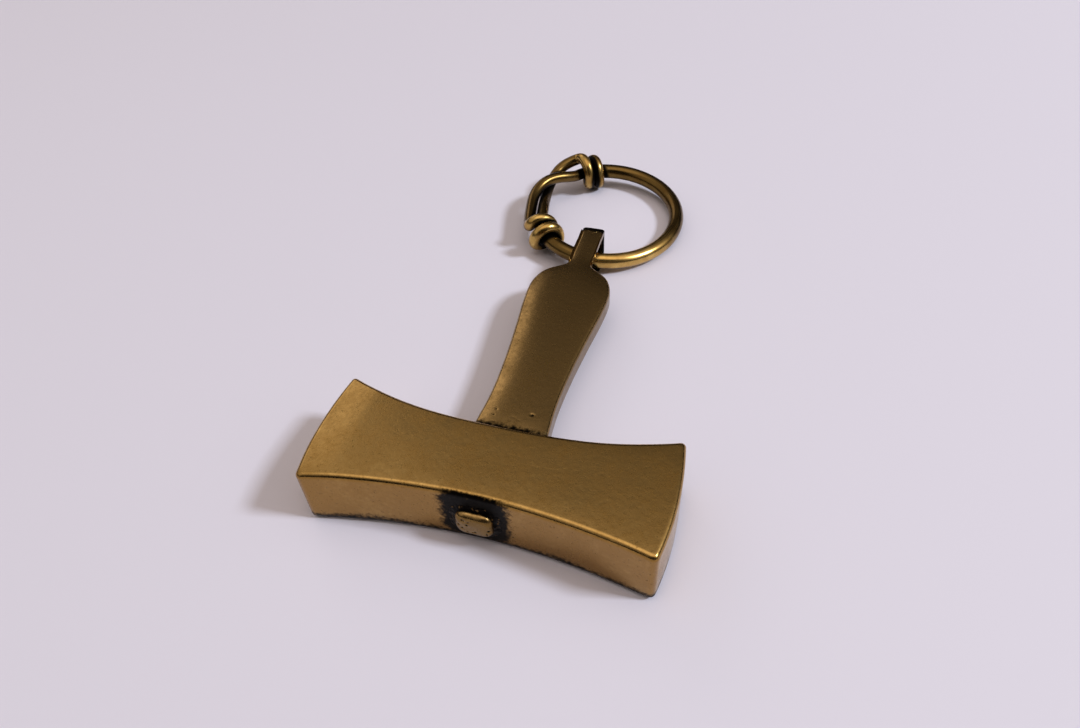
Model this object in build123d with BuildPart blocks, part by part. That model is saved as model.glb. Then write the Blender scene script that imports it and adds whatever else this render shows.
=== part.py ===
"""Hammer-shaped brass keychain pendant with a twisted wire ring.

Frame: +Z up, the pendant lying on its back face. The origin is the middle of the head's back face.
X runs along the head, and +Y runs from the head along the haft to the ring. Millimetres.
"""
from build123d import *
import os
from math import cos, pi, radians, sin, tan

os.makedirs("parts", exist_ok=True)

# ---- Head: a waisted block with flat front and back faces -------------------------------------
HEAD_THICK = 9.2
HEAD_REAR_CORNER = (21.95, 8.35)  # the corner on the haft's side
HEAD_FRONT_CORNER = (21.65, -8.6)
HEAD_END_BULGE = 22.6  # half length at the middle of the convex ends
REAR_FLANK = (11.2, 5.45)  # where the waist starts to flare
FRONT_FLANK = (11.0, -6.75)
REAR_WAIST = 4.9
FRONT_WAIST = -6.05
CORNER_ROUND = 0.9
FACE_ROUND = 0.6

# ---- Haft: paddle grip, tenon through the head, and a slotted bail ------------------------------
HAFT_TOP = 6.53
HAFT_BOTTOM = 2.7
HAFT_ROOT_HALF = 4.95
HAFT_SIDE = ((4.62, 12.2), (4.87, 19.1), (5.5, 26.1), (6.24, 34.4))  # half width, distance along Y
HAFT_SHOULDER = ((5.75, 37.5), (3.9, 40.0))
NECK_HALF = 1.9
NECK_Y = 41.0
HAFT_EDGE_ROUND = 0.45

TENON_WIDTH = 4.9
TENON_HEIGHT = 3.9
TENON_X = -0.15
TENON_Z = 4.3
TENON_ROUND = 1.25
TENON_END = -7.2  # the end stands out of the head's front
TENON_END_ROUND = 0.4

BAIL_END = 51.3
BAIL_BOTTOM = 0.08
BAIL_TIP_HALF = 1.8
BAIL_WALL = 1.25
SLOT_START = 41.8
SLOT_FLOOR = 0.7
BAIL_HEEL_Y = 36.5  # where the bail's lower limb leaves the grip's underside
BAIL_CORNER = 1.3
BAIL_EDGE_ROUND = 0.3
BAIL_BLANK_HALF = 6.0  # half width of the bail before its plan shape is cut

# ---- Braze at the two places where the haft meets the head --------------------------------------
BRAZE_SPREAD = 1.1  # how far the front fillet runs out over the head
BRAZE_PROUD = 0.55
BRAZE_ROOT = 1.0  # depth of the front fillet's blank behind the waist
REAR_BRAZE = 0.5
BEVEL = 0.9  # share of a braze's thickness taken by its bevel

# ---- Ring: one wire, its two thinner ends each wrapped round the other leg ----------------------
WIRE_R = 1.25
WIRE_END_R = 0.98
RING_R = 12.58
RING_OVAL = 0.64  # how much longer and shorter the radius gets
RING_LONG_AXIS = 79  # degrees from +X
RING_CENTRE = (0.02, 60.6, 2.58)
RING_SLOPE_X = -0.093  # the knots hold the ring's -X side up
RING_SLOPE_Y = 0.014
COIL_OFFSET = 2.1  # between the middles of a wrap and of the leg inside it
UPPER_KNOT = 126  # angle where each wrap starts, degrees from +X
LOWER_KNOT = 217
UPPER_PITCH = 2.1  # advance along the leg for each turn
LOWER_PITCH = 2.55
UPPER_SLACK = 0.9  # the upper wrap starts this much wider than it ends
WRAP_STEPS = 17
STEPS_PER_TURN = 10
TAPER_INSET = 6.0  # degrees: the wire has thinned this far before each wrap
TAPER_LAP = 3.0
ARC_RUNS = 22
# The two legs side by side: angle, distance outwards and height from the oval centreline.
OVER_LEG = ((133, -0.55, 0.15), (143, -0.4, 0.75), (152, 0.35, 1.06), (161, 1.2, 1.0),
            (171, 1.65, 0.5), (181.5, 1.55, 0.1), (193.5, 1.25, 0), (205, 1.35, 0), (215.5, 1.9, 0))
UNDER_LEG = ((215, -0.15, 0), (204.5, -0.8, 0), (193.5, -0.9, -0.05), (182.5, -0.6, -0.45),
             (172.5, -0.1, -0.95), (162.5, 0.75, -1.05), (153.5, 1.6, -0.7), (144.5, 2.3, 0.1),
             (137, 2.75, 0.85))


# ==== Head ======================================================================================
def mirrored_x(point):
    return (-point[0], point[1])


with BuildPart() as head:
    with BuildSketch(Plane.XY):
        with BuildLine():
            Spline(mirrored_x(HEAD_REAR_CORNER), mirrored_x(REAR_FLANK), (0, REAR_WAIST),
                   REAR_FLANK, HEAD_REAR_CORNER)
            ThreePointArc(HEAD_REAR_CORNER, (HEAD_END_BULGE, 0), HEAD_FRONT_CORNER)
            Spline(HEAD_FRONT_CORNER, FRONT_FLANK, (0, FRONT_WAIST),
                   mirrored_x(FRONT_FLANK), mirrored_x(HEAD_FRONT_CORNER))
            ThreePointArc(mirrored_x(HEAD_FRONT_CORNER), (-HEAD_END_BULGE, 0),
                          mirrored_x(HEAD_REAR_CORNER))
        make_face()
    extrude(amount=HEAD_THICK)
    fillet(head.edges().filter_by(Axis.Z), radius=CORNER_ROUND)
    face_edges = head.edges().group_by(Axis.Z)
    fillet(face_edges[0] + face_edges[-1], radius=FACE_ROUND)
    # The eye that the tenon passes through.
    with BuildSketch(Plane.XZ.offset(-2 * REAR_WAIST)):
        with Locations((TENON_X, TENON_Z)):
            RectangleRounded(TENON_WIDTH, TENON_HEIGHT, TENON_ROUND)
    extrude(amount=4 * REAR_WAIST, mode=Mode.SUBTRACT)
head.part.label = "head"


# ==== Haft ======================================================================================
bail_slot_end = BAIL_END - BAIL_WALL
slot_roof = HAFT_TOP - BAIL_WALL

# The bail alone: a side profile with its slot, cut to the strap's plan shape.
with BuildPart() as bail:
    with BuildSketch(Plane.YZ) as side:
        with BuildLine():
            Polyline((BAIL_HEEL_Y, HAFT_TOP - HAFT_EDGE_ROUND), (BAIL_HEEL_Y + 1, HAFT_TOP),
                     (BAIL_END, HAFT_TOP), (BAIL_END, BAIL_BOTTOM), (NECK_Y, BAIL_BOTTOM),
                     (BAIL_HEEL_Y, HAFT_BOTTOM + HAFT_EDGE_ROUND),
                     (BAIL_HEEL_Y, HAFT_TOP - HAFT_EDGE_ROUND))
        make_face()
        end_corners = side.vertices().group_by(Axis.X)[-1]
        fillet(end_corners, radius=BAIL_CORNER)
        with Locations(((SLOT_START + bail_slot_end) / 2, (SLOT_FLOOR + slot_roof) / 2)):
            RectangleRounded(bail_slot_end - SLOT_START, slot_roof - SLOT_FLOOR, BAIL_CORNER,
                             mode=Mode.SUBTRACT)
    extrude(amount=BAIL_BLANK_HALF, both=True)
    with BuildSketch(Plane.XY) as plan:
        with BuildLine():
            Polyline((-NECK_HALF, BAIL_HEEL_Y), (-NECK_HALF, NECK_Y), (-BAIL_TIP_HALF, BAIL_END),
                     (BAIL_TIP_HALF, BAIL_END), (NECK_HALF, NECK_Y), (NECK_HALF, BAIL_HEEL_Y),
                     close=True)
        make_face()
        fillet(plan.vertices().group_by(Axis.Y)[-1], radius=BAIL_EDGE_ROUND * 2)
    extrude(amount=2 * HAFT_TOP, mode=Mode.INTERSECT)

with BuildPart() as haft:
    with BuildSketch(Plane.XY.offset(HAFT_BOTTOM)):
        with BuildLine():
            root = (HAFT_ROOT_HALF, REAR_WAIST / 2)
            widest = HAFT_SIDE[-1]
            tip = (NECK_HALF * 0.8, NECK_Y + 0.15)
            Spline(root, (HAFT_ROOT_HALF, REAR_WAIST + 1), *HAFT_SIDE,
                   tangents=((0, 1), (0, 1)))
            Spline(widest, *HAFT_SHOULDER, tip, tangents=((0, 1), (-1, 0.15)))
            Line(tip, mirrored_x(tip))
            Spline(mirrored_x(tip), *[mirrored_x(p) for p in reversed(HAFT_SHOULDER)],
                   mirrored_x(widest), tangents=((-1, -0.15), (0, -1)))
            Spline(mirrored_x(widest), *[mirrored_x(p) for p in reversed(HAFT_SIDE[:-1])],
                   mirrored_x((HAFT_ROOT_HALF, REAR_WAIST + 1)), mirrored_x(root),
                   tangents=((0, -1), (0, -1)))
            Line(mirrored_x(root), root)
        make_face()
    extrude(amount=HAFT_TOP - HAFT_BOTTOM)
    grip_faces = haft.edges().group_by(Axis.Z)
    fillet(grip_faces[0] + grip_faces[-1], radius=HAFT_EDGE_ROUND)
    add(bail.part)
    add(head.part, mode=Mode.SUBTRACT)
    with BuildSketch(Plane.XZ.offset(-REAR_WAIST)):
        with Locations((TENON_X, TENON_Z)):
            RectangleRounded(TENON_WIDTH, TENON_HEIGHT, TENON_ROUND)
    extrude(amount=REAR_WAIST - TENON_END)
    fillet(haft.faces().sort_by(Axis.Y)[0].edges(), radius=TENON_END_ROUND)
haft.part.label = "haft"


# ==== Braze fillets =============================================================================
with BuildPart() as front_braze:
    with BuildSketch(Plane.XZ.offset(-FRONT_WAIST - BRAZE_ROOT)):
        with Locations((TENON_X, TENON_Z)):
            RectangleRounded(TENON_WIDTH + 2 * BRAZE_SPREAD, TENON_HEIGHT + 2 * BRAZE_SPREAD,
                             TENON_ROUND + BRAZE_SPREAD)
    extrude(amount=BRAZE_ROOT + BRAZE_PROUD)
    chamfer(front_braze.faces().sort_by(Axis.Y)[0].edges(), length=BRAZE_PROUD * BEVEL,
            length2=BRAZE_SPREAD * BEVEL)
    add(head.part, mode=Mode.SUBTRACT)
    add(haft.part, mode=Mode.SUBTRACT)
front_braze.part.label = "front_braze"

with BuildPart() as rear_braze:
    with BuildSketch(Plane.XZ.offset(-REAR_WAIST)):
        with Locations((0, (HAFT_TOP + HAFT_BOTTOM) / 2)):
            RectangleRounded(2 * (HAFT_ROOT_HALF + REAR_BRAZE),
                             HAFT_TOP - HAFT_BOTTOM + 2 * REAR_BRAZE, 2 * REAR_BRAZE)
    extrude(amount=-2 * REAR_BRAZE)
    chamfer(rear_braze.faces().sort_by(Axis.Y)[-1].edges(), length=REAR_BRAZE * BEVEL)
    add(head.part, mode=Mode.SUBTRACT)
    add(haft.part, mode=Mode.SUBTRACT)
rear_braze.part.label = "rear_braze"


# ==== Ring wire =================================================================================
ring_plane = Plane(origin=RING_CENTRE, x_dir=(1, 0, RING_SLOPE_X),
                   z_dir=(-RING_SLOPE_X, -RING_SLOPE_Y, 1))


def around(angle, radial, lift):
    """A point in the ring's own plane, radial and lift measured from the wire's oval centreline."""
    radius = RING_R + RING_OVAL * cos(2 * radians(angle - RING_LONG_AXIS)) + radial
    return (radius * cos(radians(angle)), radius * sin(radians(angle)), lift)


def wrap(start, pitch, slack):
    """A coil round the other leg: from the outer side over the top, tightening as it goes."""
    points = []
    for step in range(1, WRAP_STEPS + 1):
        turned = step / STEPS_PER_TURN
        radius = COIL_OFFSET / cos(pi / STEPS_PER_TURN) + slack * max(1 - 2 * turned, 0)
        roll = 2 * pi * turned
        angle = start + pitch * turned / RING_R * 180 / pi
        points.append(around(angle, radius * cos(roll), radius * sin(roll)))
    return points


def spread(start, end, count):
    return [start + (end - start) * i / count for i in range(count + 1)]


def bend_radii(points):
    """The largest tangent arc that each corner of the route has room for."""
    vectors = [Vector(*p) for p in points]
    radii = []
    for before, corner, after in zip(vectors, vectors[1:], vectors[2:]):
        turn = radians((corner - before).get_angle(after - corner))
        run = min((corner - before).length, (after - corner).length)
        radii.append(0.45 * run / max(tan(turn / 2), 1e-4))
    return radii


arc_start = UPPER_KNOT - TAPER_INSET
arc_end = LOWER_KNOT + TAPER_INSET - 360
main_arc = [around(a, 0, 0) for a in spread(arc_start, arc_end, ARC_RUNS)]

over_wire = [around(arc_start - TAPER_LAP, 0, 0), around(UPPER_KNOT, 0, 0)]
over_wire += [around(*point) for point in OVER_LEG]
over_wire += wrap(LOWER_KNOT, LOWER_PITCH, 0)

under_wire = [around(arc_end + TAPER_LAP, 0, 0), around(LOWER_KNOT, 0, 0)]
under_wire += [around(*point) for point in UNDER_LEG]
under_wire += wrap(UPPER_KNOT, -UPPER_PITCH, UPPER_SLACK)

with BuildPart() as ring_wire:
    for points, radius in (
        (main_arc, WIRE_R),
        (over_wire, WIRE_END_R),
        (under_wire, WIRE_END_R),
    ):
        radii = bend_radii(points)
        print("ring wire, tightest bend", round(min(radii), 2), "mm")
        with BuildLine(ring_plane) as route:
            FilletPolyline(*points, radius=radii)
        path = route.wires()[0]
        with BuildSketch(Plane(origin=path @ 0, z_dir=path % 0)):
            Circle(radius)
        sweep(path=path, transition=Transition.ROUND)
ring_wire.part.label = "ring_wire"
crossing_angle = -90
print("wire centre in the bail's slot", ring_plane.from_local_coords(Vector(*around(crossing_angle, 0, 0))))

for piece in (head, haft, front_braze, rear_braze, ring_wire):
    export_step(piece.part, f"parts/{piece.part.label}.step")
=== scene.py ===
# %% [markdown]
# # A hammer-shaped brass pendant on a twisted wire ring
# The object is a pocket-sized brass hammer: a waisted head, a paddle-shaped haft with a slotted bail, two
# blackened braze joints, and one thick wire bent into a ring. Every length below is in millimetres until
# the moment a mesh is made, and the frame is the pendant's own: the head lies along X, the haft along +Y,
# and the back face rests on z = 0.

import bmesh
import bpy
import numpy as np
from mathutils import Matrix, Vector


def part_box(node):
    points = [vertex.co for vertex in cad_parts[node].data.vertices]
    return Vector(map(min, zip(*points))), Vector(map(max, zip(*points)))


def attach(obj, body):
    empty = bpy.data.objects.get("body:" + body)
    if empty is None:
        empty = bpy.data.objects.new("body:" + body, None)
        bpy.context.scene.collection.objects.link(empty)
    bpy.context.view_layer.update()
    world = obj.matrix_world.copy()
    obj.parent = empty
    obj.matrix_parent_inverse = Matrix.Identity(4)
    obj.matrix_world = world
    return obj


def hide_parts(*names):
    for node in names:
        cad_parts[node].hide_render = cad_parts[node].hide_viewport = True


MM = 0.001
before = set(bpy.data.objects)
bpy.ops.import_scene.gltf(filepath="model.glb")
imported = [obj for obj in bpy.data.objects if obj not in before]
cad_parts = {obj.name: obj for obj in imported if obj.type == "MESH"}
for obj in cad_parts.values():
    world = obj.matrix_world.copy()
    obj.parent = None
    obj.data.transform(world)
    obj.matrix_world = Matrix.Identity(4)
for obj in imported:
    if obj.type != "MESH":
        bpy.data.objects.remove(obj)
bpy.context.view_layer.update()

# %% [markdown]
# ## Camera
# A small thing is best seen from as near as an eye or a phone can focus, so the perspective is strong:
# the lens is wide and stands about a hand's breadth away. The camera is given by where it stands and by
# two directions, where it looks and what is to its right. The third direction is their cross product.

# %% Camera
CAMERA_AT = np.array([25.3, -52.05, 82.35])
LOOK = np.array([-0.2327, 0.6624, -0.7121])
RIGHT = np.array([0.95674, 0.28738, -0.04533])
LENS = 26.08  # for a sensor 36 mm wide

camera = bpy.data.objects.new("camera", bpy.data.cameras.new("camera"))
camera.data.lens = LENS
camera.data.sensor_width = 36
camera.data.clip_start = 0.001
axes = np.stack([RIGHT, np.cross(RIGHT, LOOK), -LOOK, CAMERA_AT * MM], axis=1)
camera.matrix_world = Matrix([*axes.tolist(), [0, 0, 0, 1]])
bpy.context.scene.collection.objects.link(camera)
bpy.context.scene.camera = camera
print("camera stands", round(float(np.linalg.norm(CAMERA_AT)), 1), "mm from the head")

# %% [markdown]
# ## Tools for surfaces
# Every new piece is a grid of points worked out with numpy, so three small tools come first: a curve
# through chosen points, a smoother curve that chosen points pull towards themselves, and a function that
# turns rows of points into a closed mesh. Working on whole arrays keeps the formulas readable and fast.


# %% Curves
def curve_through(points, count):
    """Cubic pieces through the points. The slope at each point is the slope of a parabola through it and
    its two neighbours, and the curve is measured along the chords between the points."""
    points = np.asarray(points, float)
    chords = np.linalg.norm(np.diff(points, axis=0), axis=1)
    along = np.concatenate([[0], np.cumsum(chords)])
    slopes = np.gradient(points, along, axis=0)
    at = np.linspace(0, along[-1], count)
    piece = np.clip(np.searchsorted(along, at, side="right") - 1, 0, len(chords) - 1)
    run = chords[piece][:, None]
    t = ((at - along[piece]) / chords[piece])[:, None]
    ends = (2 * t**3 - 3 * t**2 + 1) * points[piece] + (3 * t**2 - 2 * t**3) * points[piece + 1]
    bends = (t**3 - 2 * t**2 + t) * slopes[piece] + (t**3 - t**2) * slopes[piece + 1]
    return ends + bends * run


def curve_near(points, spacing):
    """A uniform cubic B-spline: each stretch is a weighted mean of four neighbouring points, so the curve
    is smooth in direction and in bend. It is then cut into equal steps of about the spacing."""
    points = np.asarray(points, float)
    held = np.concatenate([2 * points[:1] - points[1:2], points, 2 * points[-1:] - points[-2:-1]])
    t = np.linspace(0, 1, 40, endpoint=False)[None, :, None]
    a, b, c, d = (held[i : len(held) - 3 + i][:, None] for i in range(4))
    curve = ((1 - t) ** 3 * a + (3 * t**3 - 6 * t**2 + 4) * b
             + (3 * t + 3 * t**2 - 3 * t**3 + 1) * c + t**3 * d) / 6
    curve = np.concatenate([curve.reshape(-1, points.shape[1]), points[-1:]])
    return even_steps(curve, spacing)


def even_steps(curve, spacing):
    """The same curve with its points the same distance apart, read off along its length."""
    steps = np.linalg.norm(np.diff(curve, axis=0), axis=1)
    along = np.concatenate([[0], np.cumsum(steps)])
    at = np.linspace(0, along[-1], round(along[-1] / spacing) + 1)
    return np.stack([np.interp(at, along, axis) for axis in curve.T], axis=1)


def ease(value, start, end):
    """0 before start, 1 after end, and 3t^2 - 2t^3 in between."""
    t = np.clip((value - start) / (end - start), 0, 1)
    return t * t * (3 - 2 * t)


print("ease half way:", ease(0.5, 0, 1))


# %% Value noise
def hashed(cells, seed):
    """A repeatable random number from -1 to 1 for each whole-number cell: its three coordinates are
    multiplied by large primes, combined bit by bit and stirred twice."""
    mixed = cells[..., 0] * 73856093 ^ cells[..., 1] * 19349663
    mixed = mixed ^ cells[..., 2] * 83492791 ^ seed * 2654435761
    mixed = (mixed ^ (mixed >> 13)) * 1274126177 & 0x7FFFFFFF
    mixed = (mixed ^ (mixed >> 16)) * 668265263 & 0x7FFFFFFF
    return (mixed >> 8 & 0xFFFF) / 32767.5 - 1


def noise(points, size, seed):
    """Random numbers on a cubic lattice of that size, blended between the eight corners round a point."""
    low = np.floor(points / size).astype(np.int64)
    share = points / size - low
    share = share * share * (3 - 2 * share)
    total = np.zeros(points.shape[:-1])
    for corner in np.ndindex(2, 2, 2):
        weight = np.prod(np.where(corner, share, 1 - share), axis=-1)
        total += weight * hashed(low + corner, seed)
    return total


three_places = np.array([[0.2, 0.4, 0.1], [3.3, 1.2, 0.7], [9.1, 4.4, 2.2]])
print("noise at three places:", noise(three_places, 1.0, 3))


# %% Rows of points to a mesh
SAME_PLACE = 0.0002  # points closer than this are one


def make_piece(name, rows, looped=False, zipped=False):
    """rows is (rows, around, 3) in millimetres. Neighbouring points are joined by quads and each row is
    closed on itself. The first and last rows are closed by fans, or joined to each other if looped. If
    zipped, they are already folded onto a line, and points in the same place become one."""
    count, around = rows.shape[:2]
    here = np.arange(around)
    after = np.roll(here, -1)
    low = np.arange(count if looped else count - 1)[:, None] * around
    high = (low + around) % (count * around)
    faces = np.stack([low + here, low + after, high + after, high + here], axis=-1).reshape(-1, 4).tolist()
    points = rows.reshape(-1, 3)
    if not (looped or zipped):
        first, last = count * around, (count - 1) * around
        points = np.concatenate([points, rows[[0, -1]].mean(axis=1)])
        faces += np.stack([np.full(around, first), after, here], axis=1).tolist()
        faces += np.stack([np.full(around, first + 1), last + here, last + after], axis=1).tolist()
    mesh = bpy.data.meshes.new(name)
    mesh.from_pydata((points * MM).tolist(), [], faces)
    if signed_volume(mesh) < 0:
        mesh.flip_normals()
    if zipped:
        shell = bmesh.new()
        shell.from_mesh(mesh)
        bmesh.ops.remove_doubles(shell, verts=shell.verts, dist=SAME_PLACE * MM)
        shell.to_mesh(mesh)
        shell.free()
    mesh.shade_smooth()
    piece = bpy.data.objects.new(name, mesh)
    bpy.context.scene.collection.objects.link(piece)
    return piece


def signed_volume(mesh):
    """The sum over all faces of a third of area times the distance of the face's plane from the origin:
    positive when the faces point outwards."""
    centre, normal, area = (np.empty(len(mesh.polygons) * n) for n in (3, 3, 1))
    mesh.polygons.foreach_get("center", centre)
    mesh.polygons.foreach_get("normal", normal)
    mesh.polygons.foreach_get("area", area)
    return ((centre * normal).reshape(-1, 3).sum(axis=1) * area).sum() / 3


def places(mesh):
    """The mesh's points and their normals, the points in millimetres."""
    points, normals = (np.empty(len(mesh.vertices) * 3) for _ in range(2))
    mesh.vertices.foreach_get("co", points)
    mesh.vertex_normals.foreach_get("vector", normals)
    return points.reshape(-1, 3) / MM, normals.reshape(-1, 3)


def raise_surface(piece, heights):
    """Moves every point along its own normal by its height in millimetres."""
    points, normals = places(piece.data)
    moved = (points + normals * heights[:, None]) * MM
    piece.data.vertices.foreach_set("co", moved.ravel())
    piece.data.update()


def store(piece, name, values):
    """Keeps one number, or one vector, for each point, for a material to read."""
    kind, field = ("FLOAT", "value") if values.ndim == 1 else ("FLOAT_VECTOR", "vector")
    attribute = piece.data.attributes.new(name, kind, "POINT")
    attribute.data.foreach_set(field, values.astype(np.float32).ravel())


def pits(points, centres, widths, depths):
    """Round hollows: each point's depth is that of the deepest pit over it, (1 - (r/width)^2)^2 across."""
    gaps = np.linalg.norm(points[:, None] - centres[None], axis=2) / widths
    return -(np.clip(1 - gaps**2, 0, 1) ** 2 * depths).max(axis=1)


print("mesh tools ready")

# %% [markdown]
# ## A slab with soft edges
# The head, the haft and the peg are all slabs: a closed outline with a thickness. Cast and hand-filed
# metal has no sharp edge, so the slab's side turns into its faces by a quarter circle, and each face dips
# a little towards its rim, as filing leaves it. A bevel modifier could round the edges, but not dip the
# faces. The outline is moved inwards for the quarter circles, and then shrinks towards a line in the
# middle of the face. Where it has no sharp corner it moves in along its normals. The head's corners
# would fold that way, so each of its points moves in until it is deep enough.


# %% Slab
def outward(outline):
    """Unit normals of a closed anticlockwise outline: the direction from the point before to the point
    after, turned a quarter turn clockwise."""
    run = np.roll(outline, -1, axis=0) - np.roll(outline, 1, axis=0)
    run /= np.linalg.norm(run, axis=1)[:, None]
    return np.stack([run[:, 1], -run[:, 0]], axis=1)


def filed_dip(plan, outline, depth, width):
    """How far filing lowers a face near its rim: every bit of the outline lowers it by an amount that fades
    exponentially with distance. Their sum is depth at a straight rim, and smooth everywhere."""
    step = np.linalg.norm(outline[1] - outline[0])
    gaps = np.linalg.norm(plan[:, None] - outline[None], axis=2)
    return depth * np.exp(-gaps / width).sum(axis=1) * step / (2 * width)


def soft_slab(outline, inset, spine, low, high, edges, dip, side_rows=24, face_rows=26, reach=0.8):
    """Rows of points from the middle of the low face, out and round the edges, to the middle of the high
    face. inset gives the outline moved inwards by a distance, low and high give each face's height, and
    edges is their two edge radii. A face shrinks towards its spine, by a reach of 1 all the way, so it
    ends folded on it, and by less only partly, so it then shrinks to one point, which closes it."""
    toward_spine = reach * np.linspace(0, 1, face_rows)[1:, None, None] ** 1.4
    toward_point = np.linspace(0, 0.97, 14 if reach < 1 else 1)[1:, None, None]

    def lifted(plan, height, sign, drop):
        level = height(plan) - sign * (drop + filed_dip(plan, outline, *dip))
        return np.concatenate([plan, level[:, None]], axis=1)

    def half(height, sign, edge):
        rounded = [lifted(inset(edge * (1 - np.sin(angle))), height, sign, edge * (1 - np.cos(angle)))
                   for angle in np.linspace(np.pi / 2, 0, EDGE_ROWS)]
        rim = inset(edge)
        face_plans = rim + (spine(rim) - rim) * toward_spine
        inner_plans = face_plans[-1] + (face_plans[-1].mean(axis=0) - face_plans[-1]) * toward_point
        return rounded + [lifted(plan, height, sign, 0) for plan in (*face_plans, *inner_plans)]

    bottom, top = half(low, -1, edges[0]), half(high, 1, edges[1])
    between = np.linspace(0, 1, side_rows + 1)[1:-1, None, None]
    side = bottom[0] + (top[0] - bottom[0]) * between
    return np.array([*bottom[::-1], *side, *top])


def along_normals(outline):
    """An inset for an outline without sharp corners: each point moves straight in."""
    normals = outward(outline)
    return lambda distance: outline - normals * distance


EDGE_ROWS = 9
print("quarter circles in", EDGE_ROWS, "rows")

# %% [markdown]
# ## Head
# The real head is a small brass casting, filed and tumbled. Its outline could be drawn as splines, but it
# is shorter to say what bounds it: a waisted edge behind and in front, whose distance grows with a power
# of the way along, and a bowed end on each side. From the middle, each direction is followed outwards
# until a rounded maximum of those limits is reached.

# %% Head outline
HEAD_HALF = float(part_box("head")[1].x) / MM
HEAD_THICK = float(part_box("head")[1].z) / MM
REAR_WAIST, REAR_FLARE, REAR_POWER = 4.9, 3.45, 2.73
FRONT_WAIST, FRONT_FLARE, FRONT_POWER = -6.05, 2.55, 1.91
REAR_CORNER, FRONT_CORNER = (21.95, 8.35), (21.65, -8.6)
CORNER_ROUND = 0.8
HEAD_EDGES = (0.95, 0.7)  # the back face is worn rounder than the front
HEAD_DIP = (0.03, 0.7)  # how deep filing dips a face at its rim, and how far in that reaches


def past_limits(x, y, rounding=CORNER_ROUND):
    """How far a plan position is outside the head, negative inside. Where two limits meet, a quarter
    circle joins them."""
    rear = y - REAR_WAIST - REAR_FLARE * (np.abs(x) / REAR_CORNER[0]) ** REAR_POWER
    front = FRONT_WAIST - FRONT_FLARE * (np.abs(x) / FRONT_CORNER[0]) ** FRONT_POWER - y
    corner = np.where(y[..., None] > 0, REAR_CORNER, FRONT_CORNER)
    bow = (HEAD_HALF - corner[..., 0]) * (y / corner[..., 1]) ** 2
    side, end = np.maximum(rear, front), np.abs(x) - HEAD_HALF + bow
    rounded = np.hypot(np.maximum(side + rounding, 0), np.maximum(end + rounding, 0))
    return np.minimum(np.maximum(side, end), -rounding) + rounded


def head_outline(count):
    """In each direction, the distance is found by halving the stretch that holds the edge 30 times."""
    angle = np.linspace(0, 2 * np.pi, 6000, endpoint=False)
    way = np.stack([np.cos(angle), np.sin(angle)], axis=1)
    near, far = np.zeros(len(angle)), np.full(len(angle), 1.3 * HEAD_HALF)
    for _ in range(30):
        middle = (near + far) / 2
        inside = past_limits(*(way * middle[:, None]).T) < 0
        near, far = np.where(inside, middle, near), np.where(inside, far, middle)
    outline = way * near[:, None]
    outline = np.concatenate([outline, outline[:1]])
    length = np.linalg.norm(np.diff(outline, axis=0), axis=1).sum()
    return even_steps(outline, length / count)[:-1]


head_plan = head_outline(480)
print("head outline:", head_plan.min(axis=0).round(2), head_plan.max(axis=0).round(2))

# %% Head surface
HEAD_FALL = 0.16  # the front face falls this much towards each bowed end
FALL_START = 17.0


def head_front(plan):
    """Height of the head's front face: level, then easing down near the ends."""
    return HEAD_THICK - HEAD_FALL * ease(np.abs(plan[:, 0]), FALL_START, HEAD_HALF)


def head_spine(plan):
    """The line that the faces shrink to: along X, at the middle of the waist. Towards the ends each side
    aims a little past the middle, which takes the waist out of the shrunken outline."""
    past_middle = 0.075 * plan[:, 1] * (plan[:, 0] / HEAD_HALF) ** 2
    return np.stack([plan[:, 0] * 0.62, (REAR_WAIST + FRONT_WAIST) / 2 - past_middle], axis=1)


def head_back(plan):
    return np.zeros(len(plan))


def head_inset(distance):
    """Each point of the outline moves towards the spine until it is that deep inside, found by halving.
    Lines of equal depth never cross, so the sharp corners don't fold."""
    rounding = max(CORNER_ROUND, distance + 0.25)
    toward = head_spine(head_plan) - head_plan
    near, far = np.zeros(len(head_plan)), np.full(len(head_plan), 0.9)
    for _ in range(30):
        middle = (near + far) / 2
        deep = past_limits(*(head_plan + toward * middle[:, None]).T, rounding) < -distance
        near, far = np.where(deep, near, middle), np.where(deep, middle, far)
    return head_plan + toward * far[:, None]


head_rows = soft_slab(head_plan, head_inset, head_spine, head_back, head_front, HEAD_EDGES, HEAD_DIP,
                      30, 30)
head = make_piece("hammer_head", head_rows)
print("head faces:", len(head.data.polygons))

# %% [markdown]
# ## Haft
# The haft is one casting with three shapes in it. The grip and the strap share one flat front face, so they
# are one slab whose back face steps up where the slot begins. The strap's end turns down and runs back
# under the slot, which is a flat bar swept along a bent path. The tenon that passes through the head and
# shows as a peg on the other side is a short slab standing on its own outline.

# %% Grip and strap
HAFT_TOP, GRIP_BACK, STRAP_BACK = 6.53, 2.7, 5.28
SIDE = ((0, 4.5), (2.5, 4.5), (4.7, 4.5), (4.95, 4.7), (4.95, 5.9), (4.62, 12.2), (4.87, 19.1), (5.5, 26.1),
        (6.08, 31.5), (6.24, 34.4), (6.13, 36.2), (5.75, 37.6), (5.0, 39.0), (3.9, 40.05), (2.9, 40.75),
        (2.15, 41.35), (1.9, 42.1), (1.87, 44.5), (1.83, 48.0), (1.8, 50.4), (1.66, 51.0), (1.2, 51.27),
        (0.6, 51.3), (0, 51.3))
HAFT_EDGES = (0.5, 0.55)
HAFT_DIP = (0.42, 1.2)  # filing has crowned the grip's faces
END_TURN = 1.3  # radius of the strap's end, seen from the side
STRAP_END = SIDE[-1][1]

half = even_steps(curve_through(SIDE, 3000), 0.15)
haft_plan = np.concatenate([half[:-1], half[:0:-1] * (-1, 1)])


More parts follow.
